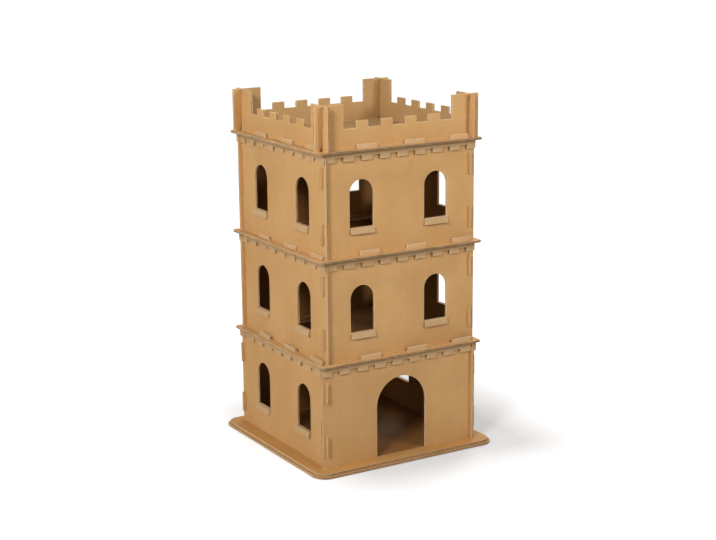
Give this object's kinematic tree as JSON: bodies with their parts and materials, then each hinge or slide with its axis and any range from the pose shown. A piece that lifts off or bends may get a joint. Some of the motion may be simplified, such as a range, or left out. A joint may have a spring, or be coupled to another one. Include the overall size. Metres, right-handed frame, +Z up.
{
  "type": "cardboard castle",
  "caption": "Castle-shaped play tower for a cat, slotted together from corrugated board, with arched windows, a doorway, toothed friezes and a crenellated parapet.",
  "frame": {"origin": "middle of the base's underside, on the floor", "axes": "+Z up, the front wall with the doorway faces -Y, +X to the right of someone who looks at the front"},
  "size_m": [0.618, 0.618, 1.069],
  "materials": {
    "kraft_board": "matte"
  },
  "bodies": {
    "root": {"base_lower_sheet": "kraft_board", "base_upper_sheet": "kraft_board", "ground_front_wall": "kraft_board", "ground_right_wall": "kraft_board", "ground_back_wall": "kraft_board", "ground_left_wall": "kraft_board", "middle_front_wall": "kraft_board", "middle_right_wall": "kraft_board", "middle_back_wall": "kraft_board", "middle_left_wall": "kraft_board", "upper_front_wall": "kraft_board", "upper_right_wall": "kraft_board", "upper_back_wall": "kraft_board", "upper_left_wall": "kraft_board", "ground_front_frieze": "kraft_board", "ground_right_frieze": "kraft_board", "ground_back_frieze": "kraft_board", "ground_left_frieze": "kraft_board", "middle_front_frieze": "kraft_board", "middle_right_frieze": "kraft_board", "middle_back_frieze": "kraft_board", "middle_left_frieze": "kraft_board", "upper_front_frieze": "kraft_board", "upper_right_frieze": "kraft_board", "upper_back_frieze": "kraft_board", "upper_left_frieze": "kraft_board", "first_floor": "kraft_board", "second_floor": "kraft_board", "roof_floor": "kraft_board", "front_parapet": "kraft_board", "right_parapet": "kraft_board", "back_parapet": "kraft_board", "left_parapet": "kraft_board"}
  },
  "joints": []
}
